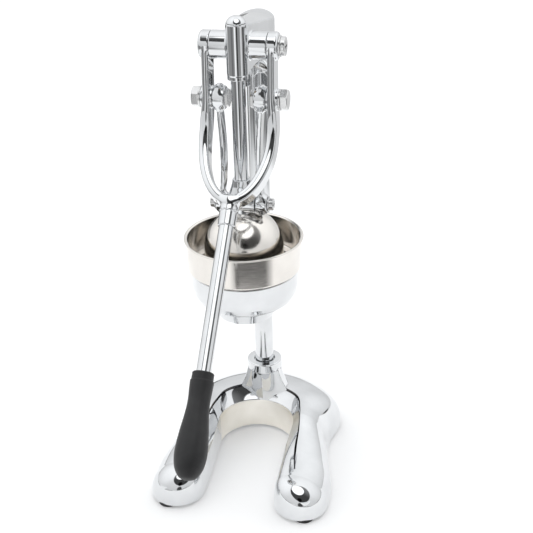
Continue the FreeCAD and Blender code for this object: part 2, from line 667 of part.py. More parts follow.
def juice_cup():
    """Stainless cup with a rolled rim, seated in the holder's bowl, with a hole at its foot."""
    wall = 1.2
    outer = [(24, 227.4), (42, 227.4), (48.5, 231.8), (52.0, 238), (53.2, 245), (53.6, HOLDER_TOP),
             (61.2, HOLDER_TOP), (CUP_RADIUS, 264), (CUP_RADIUS, RIM_Z - 1.0),
             (CUP_RADIUS + 0.8, RIM_Z - 0.6), (CUP_RADIUS + 0.8, RIM_Z + 0.4), (CUP_RADIUS, RIM_Z + 0.8),
             (CUP_RADIUS - wall, RIM_Z + 0.4), (CUP_RADIUS - wall, 264.8), (60.6, 263.5),
             (53.6 - wall, 263.5), (53.2 - wall, 245), (52.0 - wall, 238.4), (47.8, 232.8),
             (41.6, 228.6), (24, 228.6)]
    return turned(outer)


def strainer():
    """Perforated ring on which the pulp collects, standing inside the cup."""
    disc = tube(50.2, 20.0, V(0, 0, 244), V(0, 0, 245))
    for count, radius in ((16, 27.0), (24, 34.0), (30, 41.0)):
        for k in range(count):
            angle = 2 * math.pi * (k + 0.5 * (count == 24)) / count
            place = V(radius * math.cos(angle), radius * math.sin(angle), 240)
            disc = disc.cut(rod(1.5, place, place + V(0, 0, 10)))
    foot = tube(50.2, 49.2, V(0, 0, 237.3), V(0, 0, 244))
    return fuse([disc, foot])


def reamer_cone():
    """Ribbed cone on which the fruit is pressed, inside the dome."""
    profile = [(0, 245), (31, 245), (31, 247), (27, 255), (20, 272), (12, 288), (6, 296), (0, 298)]
    cone = turned(profile)
    ribs = 8
    for k in range(ribs):
        angle = 360.0 * k / ribs
        rib = [V(0, 0, 246), V(35, 0, 246), V(31.5, 0, 254), V(24.5, 0, 271), V(16, 0, 287),
               V(8, 0, 297), V(0, 0, 300)]
        face = Part.Face(Part.makePolygon(rib + rib[:1]))
        plate = face.extrude(V(0, 2.4, 0))
        plate.translate(V(0, -1.2, 0))
        plate.rotate(V(0, 0, 0), Z_DIR, angle)
        cone = cone.fuse(plate)
    plug = rod(19.7, V(0, 0, 243), V(0, 0, 246))
    return cone.fuse(plug).removeSplitter()


# ---- writing --------------------------------------------------------------------------
def nodes():
    return {
        "base_casting": base_casting(),
        "rubber_feet": rubber_feet(),
        "foot_screws": foot_screws(),
        "post": post(),
        "post_bolt": post_bolt(),
        "post_washer": post_washer(),
        "base_set_screw": set_screw(82),
        "head_casting": head_casting(),
        "head_set_screw": set_screw(476),
        "guide_bushes": guide_bushes(),
        "pivot_bushes": pivot_bushes(),
        "bowl_holder": bowl_holder(),
        "holder_set_screw": set_screw(241),
        "juice_cup": juice_cup(),
        "strainer": strainer(),
        "reamer_cone": reamer_cone(),
        "fork": fork(),
        "handle_tube": handle_tube(),
        "grip": grip(),
        "pivot_screws": pivot_screws(),
        "pivot_washer": pivot_washer(),
        "link_bolts": link_bolts(),
        "link_washers": link_washers(),
        "link_right": link(),
        "link_left": mirrored(link()),
        "link_nut_right": link_nut(),
        "link_nut_left": mirrored(link_nut()),
        "lower_screws": lower_screws(),
        "plunger_rod": plunger_rod(),
        "rod_cap": rod_cap(),
        "press_hub": press_hub(),
        "press_dome": press_dome(),
        "dome_screw": dome_screw(),
    }


def main():
    os.makedirs("parts", exist_ok=True)
    whole = FreeCAD.BoundBox()
    for name, shape in nodes().items():
        shape.translate(V(0, SHIFT_Y, 0))
        if not shape.isValid():
            print("not valid:", name)
        for solid in shape.Solids:
            print("%-20s solids %d volume %.0f" % (name, len(shape.Solids), solid.Volume))
            break
        whole.add(shape.BoundBox)
        shape.exportStep("parts/" + name + ".step")
    print("box x %.1f %.1f  y %.1f %.1f  z %.1f %.1f" % (
        whole.XMin, whole.XMax, whole.YMin, whole.YMax, whole.ZMin, whole.ZMax))


main()
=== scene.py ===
"""Looks of the hand-lever citrus press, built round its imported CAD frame. Metres, +Z up."""
import itertools
import json
import math

import bmesh
import bpy
import numpy as np
from mathutils import Matrix, Vector
from mathutils.kdtree import KDTree


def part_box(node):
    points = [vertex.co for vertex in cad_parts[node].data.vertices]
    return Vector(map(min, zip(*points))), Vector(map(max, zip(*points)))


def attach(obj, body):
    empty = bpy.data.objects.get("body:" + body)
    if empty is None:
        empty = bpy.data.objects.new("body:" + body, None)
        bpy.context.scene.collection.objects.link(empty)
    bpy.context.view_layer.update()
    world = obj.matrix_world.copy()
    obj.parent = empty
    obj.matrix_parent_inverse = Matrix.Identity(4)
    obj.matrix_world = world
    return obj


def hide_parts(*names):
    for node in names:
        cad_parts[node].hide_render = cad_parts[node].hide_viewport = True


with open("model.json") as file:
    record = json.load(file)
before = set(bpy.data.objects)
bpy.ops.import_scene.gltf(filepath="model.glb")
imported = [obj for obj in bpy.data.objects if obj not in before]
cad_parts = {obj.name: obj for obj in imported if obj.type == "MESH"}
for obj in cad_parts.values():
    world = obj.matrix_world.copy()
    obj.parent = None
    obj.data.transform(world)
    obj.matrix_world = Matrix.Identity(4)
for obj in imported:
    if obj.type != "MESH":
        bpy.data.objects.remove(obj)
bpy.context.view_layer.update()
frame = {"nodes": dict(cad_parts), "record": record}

MM = 0.001
scene = bpy.context.scene
rod_low, rod_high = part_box("plunger_rod")
AXIS_Y = (rod_low.y + rod_high.y) / 2 / MM      # the press axis, in millimetres from the origin


def at(x, y, z):
    """Point given in millimetres from the press axis at table height."""
    return Vector((x, y + AXIS_Y, z)) * MM


# ---- materials --------------------------------------------------------------------------
def node_material(name):
    """New material with its node tree, its shader and its place in the object."""
    material = bpy.data.materials.new(name)
    material.use_nodes = True
    tree = material.node_tree
    shader = tree.nodes["Principled BSDF"]
    place = tree.nodes.new("ShaderNodeTexCoord").outputs["Object"]
    return material, tree, shader, place


def stretched(tree, place, scale):
    mapping = tree.nodes.new("ShaderNodeMapping")
    mapping.inputs["Scale"].default_value = scale
    tree.links.new(place, mapping.inputs["Vector"])
    return mapping.outputs["Vector"]


def noise(tree, place, scale, detail=3.0):
    texture = tree.nodes.new("ShaderNodeTexNoise")
    texture.inputs["Scale"].default_value = scale
    texture.inputs["Detail"].default_value = detail
    tree.links.new(place, texture.inputs["Vector"])
    return texture.outputs["Fac"]


def ramp(tree, value, low, high, low_colour, high_colour):
    """Colour that runs between two colours as the value runs from low to high."""
    node = tree.nodes.new("ShaderNodeValToRGB")
    node.color_ramp.elements[0].position = low
    node.color_ramp.elements[1].position = high
    node.color_ramp.elements[0].color = (*low_colour, 1.0)
    node.color_ramp.elements[1].color = (*high_colour, 1.0)
    tree.links.new(value, node.inputs["Fac"])
    return node.outputs["Color"]


def spread(tree, value, low, high, to_low, to_high):
    """Number that runs from to_low to to_high as the value runs from low to high."""
    node = tree.nodes.new("ShaderNodeMapRange")
    for socket, number in (("From Min", low), ("From Max", high),
                           ("To Min", to_low), ("To Max", to_high)):
        node.inputs[socket].default_value = number
    tree.links.new(value, node.inputs["Value"])
    return node.outputs["Result"]


def bump(tree, height, strength, distance, under=None):
    node = tree.nodes.new("ShaderNodeBump")
    node.inputs["Strength"].default_value = strength
    node.inputs["Distance"].default_value = distance
    tree.links.new(height, node.inputs["Height"])
    if under is not None:
        tree.links.new(under, node.inputs["Normal"])
    return node.outputs["Normal"]


def metal(name, dark, light, rough_low, rough_high, grain=(1, 1, 1), grain_scale=900.0,
          grain_depth=0.00001, wave_depth=0.0):
    """Bare or plated metal: uneven polish, fine marks along the grain, a slow waviness."""
    material, tree, shader, place = node_material(name)
    shader.inputs["Metallic"].default_value = 1.0
    cloud = noise(tree, place, 38.0)
    colour = ramp(tree, cloud, 0.35, 0.68, dark, light)
    tree.links.new(colour, shader.inputs["Base Color"])
    marks = noise(tree, stretched(tree, place, grain), grain_scale, 4.0)
    rough = spread(tree, marks, 0.3, 0.75, rough_low, rough_high)
    tree.links.new(rough, shader.inputs["Roughness"])
    normal = bump(tree, marks, 0.25, grain_depth)
    if wave_depth:
        normal = bump(tree, noise(tree, place, 34.0, 1.0), 1.0, wave_depth, normal)
    tree.links.new(normal, shader.inputs["Normal"])
    return material


def soft_black(name, colour, worn, roughness, grain_scale, grain_depth):
    """Matt moulded plastic or rubber with a fine pebbled skin."""
    material, tree, shader, place = node_material(name)
    tint = ramp(tree, noise(tree, place, 60.0), 0.4, 0.7, colour, worn)
    tree.links.new(tint, shader.inputs["Base Color"])
    pebbles = noise(tree, place, grain_scale, 2.0)
    rough = spread(tree, pebbles, 0.3, 0.7, roughness - 0.06, roughness + 0.06)
    tree.links.new(rough, shader.inputs["Roughness"])
    tree.links.new(bump(tree, pebbles, 0.5, grain_depth), shader.inputs["Normal"])
    return material


CHROME = metal("chrome_plate", (0.70, 0.71, 0.72), (0.76, 0.77, 0.78), 0.03, 0.075,
               wave_depth=0.00006)
CHROME_BAR = metal("chrome_bar", (0.68, 0.69, 0.70), (0.75, 0.76, 0.77), 0.04, 0.09,
                   grain_depth=0.0000005)
# Dark metal laid on the faces of the groove along the base's crest: painted shade in the crease.
PAINTED_CREASE_SHADE = metal("painted_crease_shade", (0.05, 0.05, 0.055), (0.12, 0.12, 0.13), 0.12, 0.25)
STAINLESS = metal("stainless_sheet", (0.76, 0.73, 0.69), (0.83, 0.80, 0.76), 0.10, 0.20,
                  grain=(0.05, 0.05, 1.0), grain_scale=2200.0)
NICKEL = metal("machined_wall", (0.92, 0.89, 0.82), (0.99, 0.96, 0.90), 0.30, 0.42,
               grain=(0.1, 0.1, 1.0), grain_scale=3000.0, grain_depth=0.00003)
ZINC = metal("zinc_steel", (0.62, 0.62, 0.62), (0.74, 0.74, 0.74), 0.14, 0.28)
BRONZE = metal("bronze_bush", (0.52, 0.36, 0.17), (0.64, 0.46, 0.24), 0.25, 0.4)
GRIP_BLACK = soft_black("grip_skin", (0.010, 0.010, 0.011), (0.018, 0.018, 0.019), 0.52, 1500.0,
                        0.00012)
RUBBER = soft_black("foot_rubber", (0.010, 0.010, 0.010), (0.020, 0.020, 0.020), 0.75, 900.0,
                    0.0002)
SLOT_MATERIALS = {"chrome_casting": CHROME, "chrome_bar": CHROME_BAR, "stainless": STAINLESS,
                  "fastener_steel": ZINC, "bronze": BRONZE, "black_grip": GRIP_BLACK,
                  "black_rubber": RUBBER}


def dress_cad_nodes():
    """Give the CAD nodes that stay in sight the same materials."""
    for part in frame["record"]["subparts"]:
        node = frame["nodes"][part["node"]]
        node.data.materials.clear()
        node.data.materials.append(SLOT_MATERIALS[part["material_slot"]])


# ---- mesh makers; lengths in millimetres from the press axis ------------------------------
def add_piece(name, shape, material, body, nodes, sharp=32, normals=None):
    """Visible piece on a body, in place of some CAD nodes; sharp is an angle in degrees."""
    points, faces = shape
    mesh = bpy.data.meshes.new(name)
    places = np.asarray([tuple(p) for p in points], dtype=float) if normals is None else points
    mesh.from_pydata(((places + (0, AXIS_Y, 0)) * MM).tolist(), [], faces)
    mesh.materials.append(material)
    mesh.validate()
    if normals is None:
        work = bmesh.new()
        work.from_mesh(mesh)
        bmesh.ops.remove_doubles(work, verts=work.verts, dist=1e-7)
        bmesh.ops.recalc_face_normals(work, faces=work.faces)
        work.to_mesh(mesh)
        work.free()
    mesh.shade_smooth()
    if normals is None:
        mesh.set_sharp_from_angle(angle=math.radians(sharp))
    else:
        mesh.normals_split_custom_set_from_vertices(normals.tolist())
    piece = bpy.data.objects.new(name, mesh)
    scene.collection.objects.link(piece)
    if normals is None:
        piece.modifiers.new("even_shading", "WEIGHTED_NORMAL").keep_sharp = True
    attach(piece, body)
    if nodes:
        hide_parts(*nodes)
    return piece


def skin(rings, loop=False):
    """Skin over rings of points; a ring of one point is a pole and open ends are capped."""
    points = []
    starts = []
    for ring in rings:
        starts.append(len(points))
        points.extend(ring)
    faces = []
    for i in range(len(rings) - (0 if loop else 1)):
        j = (i + 1) % len(rings)
        a, b = rings[i], rings[j]
        for k in range(max(len(a), len(b))):
            m = (k + 1) % max(len(a), len(b))
            if len(a) == 1:
                faces.append((starts[i], starts[j] + k, starts[j] + m))
            elif len(b) == 1:
                faces.append((starts[i] + k, starts[i] + m, starts[j]))
            else:
                faces.append((starts[i] + k, starts[i] + m, starts[j] + m, starts[j] + k))
    if not loop:
        for ring, start in ((rings[0], starts[0]), (rings[-1], starts[-1])):
            if len(ring) > 1:
                faces.append(tuple(range(start, start + len(ring))))
    return points, faces


def merge(*shapes):
    """Several shapes as one."""
    points = []
    faces = []
    for some_points, some_faces in shapes:
        start = len(points)
        points.extend(some_points)
        faces.extend(tuple(start + k for k in face) for face in some_faces)
    return points, faces


def rounded(corners, closed=False):
    """Line through (a, b) or (a, b, radius) corners, each rounded by its radius."""
    line = []
    count = len(corners)
    for i, corner in enumerate(corners):
        here = Vector(corner[:2])
        radius = corner[2] if len(corner) > 2 else 0.0
        if radius == 0.0 or (not closed and i in (0, count - 1)):
            line.append(tuple(here))
            continue
        back = Vector(corners[i - 1][:2]) - here
        ahead = Vector(corners[(i + 1) % count][:2]) - here
        half = back.angle(ahead) / 2
        if half > math.radians(89):
            line.append(tuple(here))
            continue
        reach = min(radius / math.tan(half), 0.49 * back.length, 0.49 * ahead.length)
        radius = reach * math.tan(half)
        inward = (back.normalized() + ahead.normalized()).normalized()
        middle = here + inward * radius / math.sin(half)
        first = here + back.normalized() * reach - middle
        last = here + ahead.normalized() * reach - middle
        turn = math.pi - 2 * half
        steps = max(3, math.ceil(turn / math.radians(9)))
        for k in range(steps + 1):
            t = k / steps
            spoke = (first * math.sin((1 - t) * turn) + last * math.sin(t * turn)) / math.sin(turn)
            line.append(tuple(middle + spoke))
    return line


def curve_through(controls, steps):
    """Smooth line through control tuples, with some steps between each two."""
    line = []
    last = len(controls) - 1
    for i in range(last):
        p = [Vector(controls[max(0, min(last, i + k))]) for k in (-1, 0, 1, 2)]
        for k in range(steps):
            t = k / steps
            line.append(tuple(0.5 * (2 * p[1] + (p[2] - p[0]) * t
                                     + (2 * p[0] - 5 * p[1] + 4 * p[2] - p[3]) * t * t
                                     + (3 * p[1] - p[0] - 3 * p[2] + p[3]) * t ** 3)))
    line.append(tuple(controls[-1]))
    return line


def lathe(profile, origin=(0, 0, 0), axis=(0, 0, 1), steps=96, closed=False):
    """Turned shape; profile is (radius, distance along the axis) points."""
    origin = Vector(origin)
    axis = Vector(axis).normalized()
    side = axis.orthogonal().normalized()
    other = axis.cross(side)
    rings = []
    for radius, distance in profile:
        centre = origin + axis * distance
        if radius < 1e-6:
            rings.append([centre])
            continue
        ring = []
        for k in range(steps):
            angle = 2 * math.pi * k / steps
            ring.append(centre + (side * math.cos(angle) + other * math.sin(angle)) * radius)
        rings.append(ring)
    return skin(rings, loop=closed)


def implicit(field, low, high, step):
    """Points, faces and normals of the surface where a field is zero inside a box."""
    axes = [np.arange(a - 1.5 * step, b + 2.5 * step, step) for a, b in zip(low, high)]
    value = field(*np.meshgrid(*axes, indexing="ij"))
    shape = [n - 1 for n in value.shape]
    total = np.zeros(shape)
    place = np.zeros((*shape, 3))
    for a in itertools.product((0, 1), repeat=3):
        for axis in range(3):
            if a[axis]:
                continue
            b = tuple(1 if k == axis else a[k] for k in range(3))
            va, vb = (value[tuple(slice(c[k], c[k] + shape[k]) for k in range(3))] for c in (a, b))
            cross = (va < 0) != (vb < 0)
            share = np.where(cross, va / np.where(cross, va - vb, 1.0), 0.0)
            total += cross
            for k in range(3):
                place[..., k] += cross * (a[k] + (share if k == axis else 0.0))
    found = total > 0
    index = np.full(shape, -1)
    index[found] = np.arange(int(found.sum()))
    first = np.array([line[0] for line in axes])
    points = (np.argwhere(found) + place[found] / total[found][:, None]) * step + first
    faces = []
    solid = value < 0
    for axis in range(3):
        u, v = (axis + 1) % 3, (axis + 2) % 3
        lower = solid[tuple(slice(0, -1) if k == axis else slice(1, -1) for k in range(3))]
        upper = solid[tuple(slice(1, None) if k == axis else slice(1, -1) for k in range(3))]
        edges = np.argwhere(lower != upper)
        outward = lower[tuple(edges.T)]
        quad = []
        for du, dv in ((0, 0), (1, 0), (1, 1), (0, 1)):
            cell = edges.copy()
            cell[:, u] += du
            cell[:, v] += dv
            quad.append(index[tuple(cell.T)])
        quad = np.stack(quad, axis=1)
        quad = np.where(outward[:, None], quad, quad[:, ::-1])
        faces.extend(map(tuple, quad.tolist()))
    eps = 0.02
    for turn in range(4):
        slope = []
        for axis in range(3):
            shift = np.zeros(3)
            shift[axis] = eps
            slope.append(field(*(points + shift).T) - field(*(points - shift).T))
        slope = np.stack(slope, axis=1) / (2 * eps)
        size = np.maximum((slope ** 2).sum(axis=1), 1e-3)
        if turn < 3:
            move = slope * (field(*points.T) / size)[:, None]
            length = np.linalg.norm(move, axis=1)
            points = points - move * np.minimum(1.0, 0.6 * step / np.maximum(length, 1e-9))[:, None]
    normals = slope / np.linalg.norm(slope, axis=1)[:, None].clip(1e-6)
    return points, faces, normals


def add_cast(name, field, low, high, step, material, body, nodes):
    """Piece whose surface is where a field is zero."""
    points, faces, normals = implicit(field, low, high, step)
    return add_piece(name, (points, faces), material, body, nodes, normals=normals)


def both(a, b, radius=0.01):
    """Common part of two solids, its outer corner rounded."""
    return (np.minimum(np.maximum(a, b), -radius)
            + np.hypot(np.maximum(a + radius, 0), np.maximum(b + radius, 0)))


def joined(a, b, radius=0.01):
    """Union of two solids, its inner corner filled by a fillet."""
    return (np.maximum(np.minimum(a, b), radius)
            - np.hypot(np.maximum(radius - a, 0), np.maximum(radius - b, 0)))


def without(a, b, radius=0.01):
    return both(a, -b, radius)


def bar(u, v, w, radius, low, high, edge=0.5):
    """Round bar along w."""
    return both(np.hypot(u, v) - radius, np.maximum(low - w, w - high), edge)


def smooth_step(value, low, high):
    t = np.clip((value - low) / (high - low), 0.0, 1.0)
    return t * t * (3 - 2 * t)


# ---- dimensions shared with the CAD pieces ----------------------------------------------
POST_Y, POST_RADIUS, POST_BORE = 84.0, 11.0, 11.05
PIVOT_Y, PIVOT_Z = 12.0, 496.0
GLASS_Y, GLASS_RADIUS = 28.0, 44.0
CRANK, LEAN, DROP = 52.5, math.radians(85.0), math.radians(43.3)
BEND_RADIUS, BEND_CORNER = 90.0, 88.5
BEND_START = BEND_CORNER - BEND_RADIUS * math.tan((LEAN - DROP) / 2)
BEND_LENGTH = BEND_RADIUS * (LEAN - DROP)
LINK_LOW_Z = 334.0
ARM_INNER, ARM_OUTER = 29.0, 39.6
PIN_BORE, WASHER_BORE = 6.0, 6.05
EYE_RADIUS, EYE_WASHER = 10.8, 1.8          # of the bolted eye on the arm, and its washer
PIVOT_RING, PIVOT_WASHER = 10.5, 1.6
SCREW_SEAT = 27.1
TUBE_INNER, TUBE_OUTER = 5.75, 7.25
TUBE_START, GRIP_START, TUBE_END = 170.0, 334.0, 422.0
ROD_RADIUS, ROD_BORE, ROD_LOW, ROD_TOP = 7.25, 7.75, 323, 520.6
DOME_RADIUS, DOME_Z, DOME_WALL = 42.0, 284.0, 1.6
FEET = ((77, -84), (-77, -84), (62, 112), (-62, 112))


def lever_point(distance):
    """Point on the lever's side line at a path distance from the pivot, with its direction."""
    pivot = Vector((0, PIVOT_Y, PIVOT_Z))
    first = Vector((0, -math.cos(LEAN), -math.sin(LEAN)))
    if distance <= BEND_START:
        return pivot + first * distance, first
    centre = pivot + first * BEND_START + Vector((0, -math.sin(LEAN), math.cos(LEAN))) * BEND_RADIUS
    angle = LEAN - min((distance - BEND_START) / BEND_RADIUS, LEAN - DROP)
    place = centre - Vector((0, -math.sin(angle), math.cos(angle))) * BEND_RADIUS
    way = Vector((0, -math.cos(angle), -math.sin(angle)))
    return place + way * max(distance - BEND_START - BEND_LENGTH, 0.0), way


def lever_coordinates(y, z):
    """Path distance along the lever and offset from it, for points of the side plane."""
    straight, first = lever_point(0.0)
    along = (y - straight.y) * first.y + (z - straight.z) * first.z
    off = (y - straight.y) * first.z - (z - straight.z) * first.y
    corner = lever_point(BEND_START)[0]
    centre = corner + Vector((0, -math.sin(LEAN), math.cos(LEAN))) * BEND_RADIUS
    dy, dz = y - centre.y, z - centre.z
    arc_s = BEND_START + BEND_RADIUS * (LEAN - np.arctan2(dy, -dz))
    arc_off = BEND_RADIUS - np.hypot(dy, dz)
    end, last = lever_point(BEND_START + BEND_LENGTH)
    late = (y - end.y) * last.y + (z - end.z) * last.z
    late_off = (y - end.y) * last.z - (z - end.z) * last.y
    in_arc = along > BEND_START
    in_end = in_arc & (late > 0)
    s = np.where(in_end, late + BEND_START + BEND_LENGTH, np.where(in_arc, arc_s, along))
    n = np.where(in_end, late_off, np.where(in_arc, arc_off, off))
    return s, n


# ---- base -------------------------------------------------------------------------------
BACK_SHIFT, BACK_RADIUS, SIDE_X = 28.0, 104.0, 85.5     # outline behind and beside the glass
RIDGE_FROM, CREST_Z = 42.0, 57
BACK_STEPS, LEG_STEPS = 40, 14
FOOT, ROOF_DROP, WALL = 4.0, 9.0, 7.0       # underside height, thickness at the top, wall
TOE_X, TOE_RADIUS = 70.5, 30.5
GROOVE_DEPTH = 2.4
PROFILE_STEPS, TOE_STEPS, ROOF_STEPS = 34, 48, 8
MACHINED_TOP, MACHINED_FRONT = 40.2, 30


def base_outline():
    """Stations down the right half: ridge point, outer and inner edge points, crispness."""
    stations = []
    centre = Vector((0, GLASS_Y, 0))
    for k in range(BACK_STEPS):
        angle = math.radians(90 - 90 * k / BACK_STEPS)
        sine, cosine = math.sin(angle), math.cos(angle)
        arc = BACK_SHIFT * sine + math.sqrt(BACK_RADIUS ** 2 - (BACK_SHIFT * cosine) ** 2)
        blend = smooth_step(math.degrees(angle), 14.0, 48.0)
        reach = SIDE_X / cosine * (1 - blend) + arc * blend if cosine > 0.3 else arc
        ridge = RIDGE_FROM + (0.26 - 0.10 * sine) * (reach - RIDGE_FROM)
        way = Vector((cosine, sine, 0))
        stations.append((centre + way * ridge + Vector((0, 0, CREST_Z)), centre + way * reach,
                         centre + way * GLASS_RADIUS, 1.0))
    leg = curve_through([(28.0, 44.0, 53.4, 85.5, 57.0), (5.0, 42.6, 56.4, 91.5, 52.5),
                         (-18.0, 41.0, 58.0, 97.0, 48.0), (-40.0, 40.0, 60.2, 101.0, 44.2),
                         (-66.0, 40.0, 64.4, 101.0, 41.0)], LEG_STEPS)
    for y, inner, ridge, outer, crest in leg:
        crisp = float(smooth_step(y, -52.0, 24.0))
        stations.append((Vector((ridge, y, crest)), Vector((outer, y, 0)), Vector((inner, y, 0)),
                         crisp))
    return stations


def base_profile(ridge, edge, inward, crisp, groove=0.0):
    """Points from the ridge down to the foot of the casting, then up inside to the roof."""
    line = []
    power = 0.62 if inward else 1.0
    for k in range(PROFILE_STEPS + 1):
        t = k / PROFILE_STEPS
        a = t * math.pi / 2
        u, h = math.sin(a) ** power, math.cos(a) ** power
        if k == PROFILE_STEPS:
            h = 0.0
        if inward and crisp > 0:
            if t <= 0.6:
                u2, h2 = t / 0.6, 1.0 - 0.32 * (t / 0.6) ** 0.75
            else:
                u2, h2 = 1.0, 0.68 * (1 - (t - 0.6) / 0.4)
            u = u + (u2 - u) * crisp
            h = h + (h2 - h) * crisp
        place = ridge.lerp(edge, u)
        line.append(Vector((place.x, place.y, FOOT + (ridge.z - FOOT) * h)))
    if groove:
        for k in (1, 2):
            line[k] = line[0].lerp(line[k], 0.3 + 0.7 * groove)
        line[1].z -= GROOVE_DEPTH * groove
    flat = Vector((ridge.x - edge.x, ridge.y - edge.y, 0))
    rim = Vector((edge.x, edge.y, FOOT)) + flat.normalized() * min(WALL, 0.6 * flat.length)
    line.append(rim)
    for k in range(1, ROOF_STEPS + 1):
        a = k / ROOF_STEPS * math.pi / 2
        place = rim.lerp(Vector((ridge.x, ridge.y, 0)), 1 - math.cos(a))
        line.append(Vector((place.x, place.y,
                            FOOT + (ridge.z - ROOF_DROP - FOOT) * math.sin(a))))
    return line


def horseshoe():
    """Profiles swept round the casting, its mirror image, and the centres of the crease faces."""
    stations = base_outline()
    lines = [base_profile(ridge, outer, False, crisp) for ridge, outer, inner, crisp in stations]
    ridge = stations[-1][0]
    for k in range(1, TOE_STEPS):
        angle = math.pi * k / TOE_STEPS
        edge = Vector((TOE_X + TOE_RADIUS * math.cos(angle),
                       ridge.y - TOE_RADIUS * math.sin(angle), 0))
        outside = base_profile(ridge, edge, False, 0.0)
        inside = base_profile(ridge, edge, True, 0.0)
        lines.append([p.lerp(q, k / TOE_STEPS) for p, q in zip(outside, inside)])
    creased = set()
    for ridge, outer, inner, crisp in reversed(stations):
        groove = float(smooth_step(ridge.y, -62.0, 0.0))
        if groove > 0.02:
            creased.add(len(lines))
        lines.append(base_profile(ridge, inner, True, crisp, groove))
    points = []
    faces = []
    crease = []
    columns = len(lines[0])
    for sign in (1, -1):
        start = len(points)
        for line in lines:
            points.extend(Vector((sign * p.x, p.y, p.z)) for p in line)
        for i in range(len(lines) - 1):
            for k in range(columns - 1):
                a = start + i * columns + k
                faces.append((a, a + 1, a + columns + 1, a + columns))
                if k < 2 and i in creased:
                    corners = [points[n] for n in faces[-1]]
                    crease.append(sum(corners, Vector((0, 0, 0))) / 4)
    return points, faces, crease


def machined(face_centre):
    """Whether a face of the base lies on the turned wall of the glass space."""
    x, y = face_centre.x / MM, face_centre.y / MM - AXIS_Y
    radius = math.hypot(x, y - GLASS_Y)
    near = abs(radius - GLASS_RADIUS) < 0.4
    return near and face_centre.z < MACHINED_TOP * MM and y > MACHINED_FRONT


def base():
    """Shell with columns over its feet, the column and the boss that hold the post."""
    columns = []
    for x, y in FEET:
        columns.append(lathe(rounded([(0, 4.2), (8.5, 4.2, 0.5), (8.5, 26), (0, 26)]), (x, y, 0)))
    points, faces, crease = horseshoe()
    piece = add_piece("base_shell", merge((points, faces), *columns), CHROME, "frame",
                      ["base_casting"], sharp=38)
    piece.data.materials.append(NICKEL)
    piece.data.materials.append(PAINTED_CREASE_SHADE)
    finder = KDTree(len(crease))
    for k, place in enumerate(crease):
        finder.insert((place + Vector((0, AXIS_Y, 0))) * MM, k)
    finder.balance()
    # Faces of the turned wall get the machined metal; faces of the crest groove get the dark metal,
    # which is painted shade in the crease.
    for polygon in piece.data.polygons:
        if machined(polygon.center):
            polygon.material_index = 1
        elif finder.find(polygon.center)[2] < 0.0001:
            polygon.material_index = 2
    add_cast("base_column", column_field, (-21, 74, 4), (21, 105, 47), 1.0, CHROME, "frame", [])
    add_cast("base_boss", boss_field, (-34, 60, 34), (34, 118, 96), 0.8, CHROME, "frame", [])


def column_field(x, y, z):
    """Column under the boss, round the bolt that holds the post."""
    body = both(bar(x, y - POST_Y, z, 20.0, 5.0, 46.0, 0.8), 47.5 - np.hypot(x, y - GLASS_Y), 0.8)
    body = without(body, bar(x, y - POST_Y, z, 8.8, -20.0, 22.0, 0.1), 0.4)
    return without(body, np.hypot(x, y - POST_Y) - 4.3, 0.2)


def boss_field(x, y, z):
    """Ring for the post, a flare behind it and a pointed bow in front."""
    dy = y - POST_Y
    rho = np.hypot(x, dy)
    ring = bar(x, dy, z, 20.5, 83.0, 95.0, 1.4)
    low = np.clip((88.0 - z) / 36.0, 0.0, 1.3)
    flare = both(rho - (20.3 + 10.0 * low ** 2.0), np.maximum(36.0 - z, z - 90.0), 1.0) * 0.8
    flare = both(flare, -dy - 2.0, 1.0)
    drop = np.clip((88.0 - z) / 50.0, 0.0, 1.1)
    tip = 64.6 + 6.0 * drop ** 1.3
    shoulder_x = 18.8 + 19.0 * drop ** 1.5
    shoulder_y = 73.0 + 5.5 * drop
    across = np.hypot(shoulder_x, shoulder_y - tip)
    facet = ((shoulder_y - tip) * np.abs(x) - shoulder_x * (y - tip)) / across
    hollow = 2.4 * np.sin(np.clip(np.abs(x) / shoulder_x, 0, 1) * math.pi)
    bow = both(facet + hollow, np.abs(x) - shoulder_x, 1.0)
    bow = both(bow, np.maximum(dy - 4.0, np.maximum(36.0 - z, z - 86.0)), 0.6) * 0.85
    body = joined(joined(ring, flare, 2.0), bow, 0.8)
    body = np.where(z < 44.0, both(body, GLASS_RADIUS + 0.3 - np.hypot(x, y - GLASS_Y)), body)
    return without(body, bar(x, dy, z, 12.4, 91.5, 130.0, 0.2), 0.5)


# ---- head -------------------------------------------------------------------------------
CROWN_TOP, CROWN_RADIUS = 511.0, 42.5


